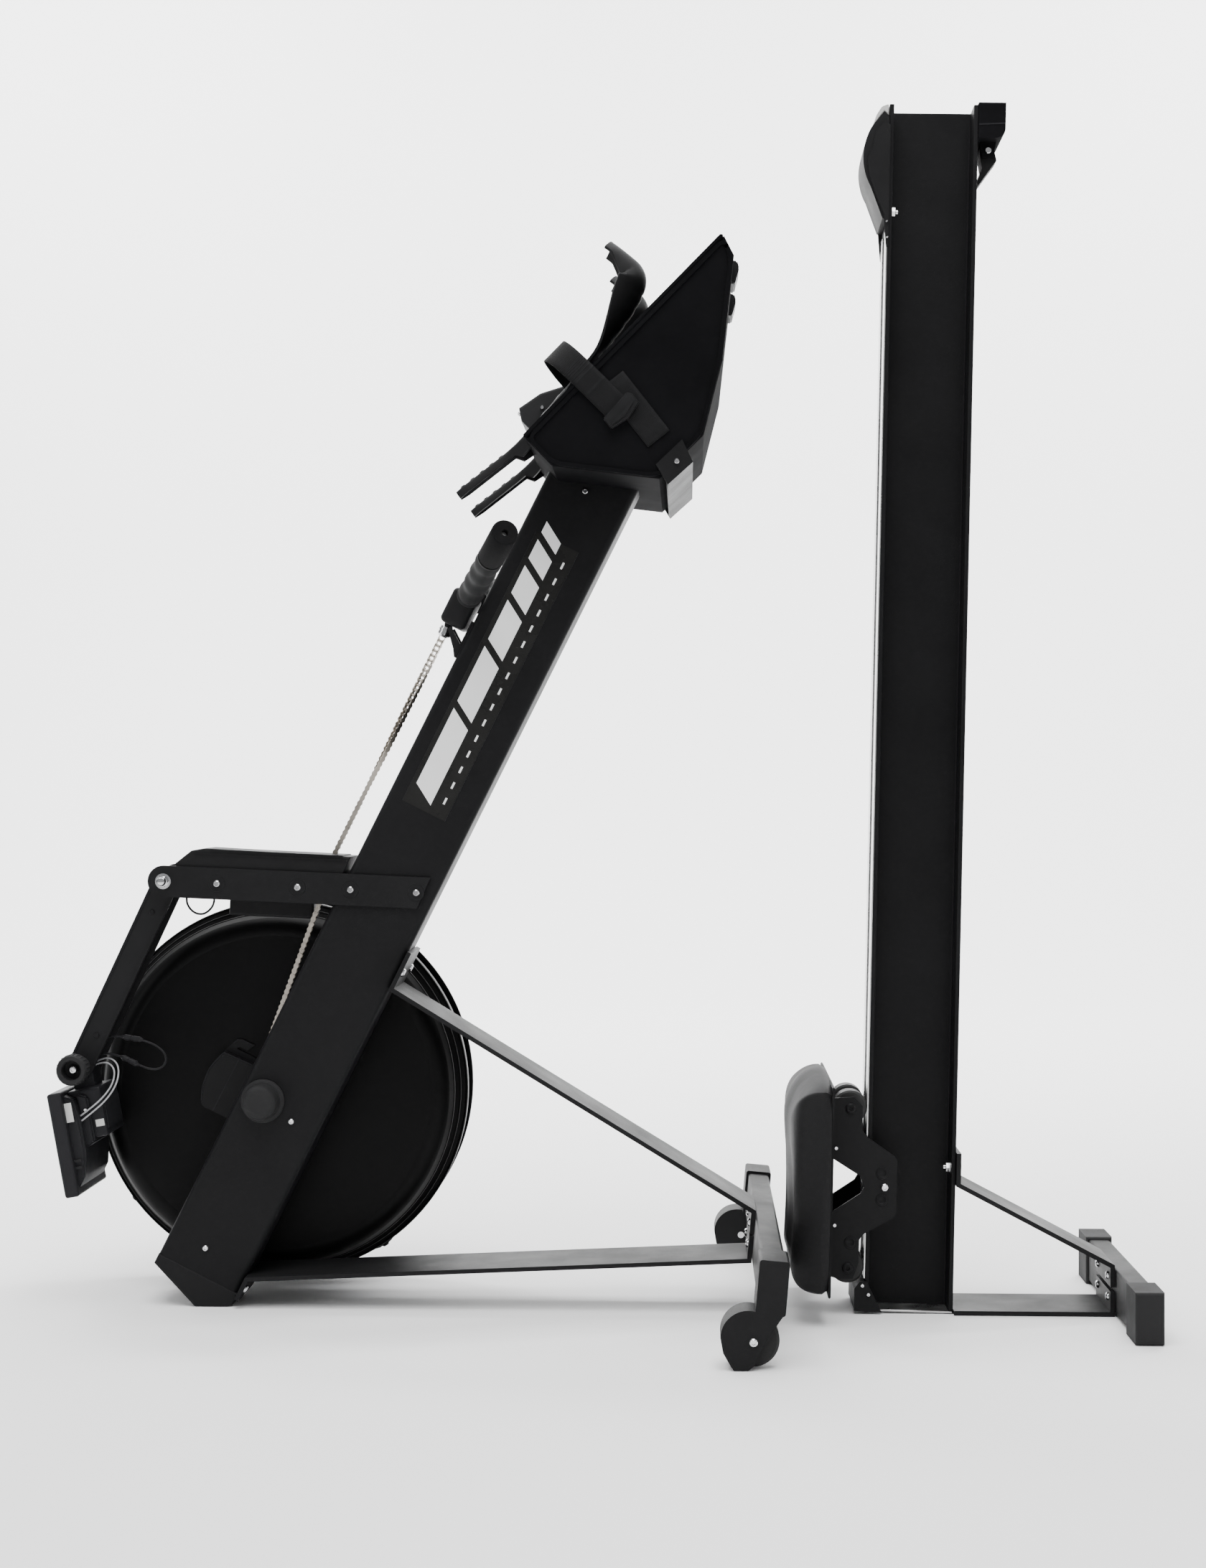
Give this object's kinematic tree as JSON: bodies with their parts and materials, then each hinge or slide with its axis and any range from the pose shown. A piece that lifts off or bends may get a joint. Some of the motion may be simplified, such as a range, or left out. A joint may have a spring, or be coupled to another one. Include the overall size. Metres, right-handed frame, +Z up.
{
  "type": "air rowing machine",
  "caption": "Air rowing machine taken apart into its flywheel half and its rail half, each stood on end for storage, with a sliding seat, pull handle and folding monitor arm.",
  "frame": {"origin": "on the floor, at the centre of the footprint of the two halves", "axes": "+Z up; +X from the flywheel half towards the rail half; +Y across the machine, to the side that carries the flywheel housing"},
  "size_m": [1.2368, 0.6126, 1.3709],
  "materials": {
    "powder_black": "satin",
    "plate_black": "satin",
    "plastic_black": "matte",
    "shell_black": "gloss",
    "housing_black": "satin",
    "cage_grey": "satin",
    "rubber_black": "matte",
    "grip_rubber": "matte",
    "foam_grey": "matte",
    "tyre_black": "matte",
    "chain_nickel": "satin",
    "bolt_chrome": "polished",
    "track_steel": "brushed",
    "steel_bright": "satin",
    "webbing_black": "woven",
    "buckle_black": "satin",
    "wedge_grey": "matte",
    "monitor_case": "satin",
    "key_grey": "matte",
    "cable_black": "matte",
    "wire_grey": "matte",
    "seat_skin": "grained",
    "roller_black": "satin"
  },
  "bodies": {
    "front_half": {"beam": "powder_black", "nose_cap": "plastic_black", "front_legs": "plate_black", "front_foot_tube": "plate_black", "front_foot_forks": "plastic_black", "crossbar_plates": "plate_black", "crossbar_cover": "plastic_black", "housing_mount": "plastic_black", "flywheel_near_cover": "housing_black", "flywheel_cage": "cage_grey", "flywheel_far_cover": "housing_black", "flywheel_axle": "steel_bright", "axle_caps": "rubber_black", "damper_housing": "plastic_black", "chain_lower": "chain_nickel", "handle_cradle": "plastic_black", "stretcher_shell": "shell_black", "stretcher_wedge": "wedge_grey", "toe_straps": "webbing_black", "strap_buckles": "buckle_black", "side_webbing": "webbing_black", "rail_receiver": "plate_black", "hinge_cable": "cable_black", "frame_bolts": "bolt_chrome"},
    "flywheel": {"flywheel_fan": "plastic_black"},
    "sprocket": {"drive_sprocket": "steel_bright"},
    "damper": {"damper_lever": "plastic_black"},
    "handle": {"chain_upper": "chain_nickel", "chain_swivel": "bolt_chrome", "handle_bar": "steel_bright", "handle_block": "plastic_black", "handle_grips": "grip_rubber", "handle_ends": "foam_grey"},
    "arm": {"monitor_arm": "plastic_black", "monitor_lead": "cable_black"},
    "monitor": {"monitor_bezel": "monitor_case", "monitor_back": "monitor_case", "monitor_wire_one": "wire_grey", "monitor_wire_two": "wire_grey"},
    "key": {"monitor_key": "key_grey"},
    "knob": {"tilt_knob": "rubber_black"},
    "near_footplate": {"footplate_near": "plastic_black"},
    "far_footplate": {"footplate_far": "plastic_black"},
    "near_caster": {"caster_wheel_near": "tyre_black"},
    "far_caster": {"caster_wheel_far": "tyre_black"},
    "rail_half": {"rail": "powder_black", "rail_tracks": "track_steel", "end_stop": "plastic_black", "rear_legs": "plate_black", "rear_foot_tube": "plate_black", "rear_foot_caps": "rubber_black", "rail_front_cover": "plastic_black", "rail_hook_block": "shell_black", "rail_bolts": "bolt_chrome"},
    "latch": {"latch_lever": "plastic_black"},
    "seat": {"seat_cushion": "seat_skin", "seat_carriage": "plate_black"},
    "upper_roller_pair": {"upper_rollers": "roller_black"},
    "lower_roller_pair": {"lower_rollers": "roller_black"},
    "guide_roller_pair": {"guide_rollers": "roller_black"}
  },
  "joints": [
    {"name": "rail_lift", "type": "slide", "parent": "front_half", "child": "rail_half", "axis": [0, 0, 1], "range_m": [0, 0.15]},
    {"name": "flywheel_spin", "type": "hinge", "parent": "front_half", "child": "flywheel", "pos_m": [-0.3766, 0.1, 0.236], "axis": [0, 1, 0], "continuous": true},
    {"name": "handle_pull", "type": "slide", "parent": "front_half", "child": "handle", "axis": [0.447, 0, 0.8945], "range_m": [0, 0.06], "stiffness_N_per_m": 20},
    {"name": "sprocket_turn", "type": "hinge", "parent": "front_half", "child": "sprocket", "pos_m": [-0.3766, 0, 0.236], "axis": [0, 1, 0], "range_deg": [0, 170]},
    {"name": "damper_turn", "type": "hinge", "parent": "front_half", "child": "damper", "pos_m": [-0.3766, 0.048, 0.236], "axis": [0, 1, 0], "range_deg": [-60, 10]},
    {"name": "arm_fold", "type": "hinge", "parent": "front_half", "child": "arm", "pos_m": [-0.4911, 0, 0.4877], "axis": [0, 1, 0], "range_deg": [0, 100]},
    {"name": "monitor_tilt", "type": "hinge", "parent": "arm", "child": "monitor", "pos_m": [-0.5914, 0, 0.2728], "axis": [0, 1, 0], "range_deg": [-4, 60]},
    {"name": "key_press", "type": "slide", "parent": "monitor", "child": "key", "axis": [0.9829, 0, 0.184], "range_m": [0, 0.0012], "stiffness_N_per_m": 400},
    {"name": "knob_turn", "type": "hinge", "parent": "arm", "child": "knob", "pos_m": [-0.5914, 0, 0.2728], "axis": [0, 1, 0], "range_deg": [-90, 90]},
    {"name": "near_footplate_slide", "type": "slide", "parent": "front_half", "child": "near_footplate", "axis": [0.703, 0, 0.7112], "range_m": [0, 0.03]},
    {"name": "far_footplate_slide", "type": "slide", "parent": "front_half", "child": "far_footplate", "axis": [0.703, 0, 0.7112], "range_m": [0, 0.03]},
    {"name": "near_caster_roll", "type": "hinge", "parent": "front_half", "child": "near_caster", "pos_m": [0.177, -0.284, 0.029], "axis": [0, 1, 0], "continuous": true},
    {"name": "far_caster_roll", "type": "hinge", "parent": "front_half", "child": "far_caster", "pos_m": [0.177, 0.284, 0.029], "axis": [0, 1, 0], "continuous": true},
    {"name": "latch_flip", "type": "hinge", "parent": "rail_half", "child": "latch", "pos_m": [0.45159, 0, 1.32061], "axis": [0, -1, 0], "range_deg": [0, 30]},
    {"name": "seat_slide", "type": "slide", "parent": "rail_half", "child": "seat", "axis": [0.0218, 0, 0.9998], "range_m": [0, 0.94]},
    {"name": "upper_roll", "type": "hinge", "parent": "seat", "child": "upper_roller_pair", "pos_m": [0.29382, 0, 0.23279], "axis": [0, 1, 0], "range_deg": [0, 2840]},
    {"name": "lower_roll", "type": "hinge", "parent": "seat", "child": "lower_roller_pair", "pos_m": [0.2899, 0, 0.05284], "axis": [0, 1, 0], "range_deg": [0, 2840]},
    {"name": "guide_roll", "type": "hinge", "parent": "seat", "child": "guide_roller_pair", "pos_m": [0.33179, 0, 0.14394], "axis": [0, 1, 0], "range_deg": [-3850, 0]}
  ],
  "couplings": [
    {"joint": "sprocket_turn", "follows": "handle_pull", "rad_per_m": 49.09},
    {"joint": "upper_roll", "follows": "seat_slide", "rad_per_m": 52.63},
    {"joint": "lower_roll", "follows": "seat_slide", "rad_per_m": 52.63},
    {"joint": "guide_roll", "follows": "seat_slide", "rad_per_m": -71.43}
  ]
}
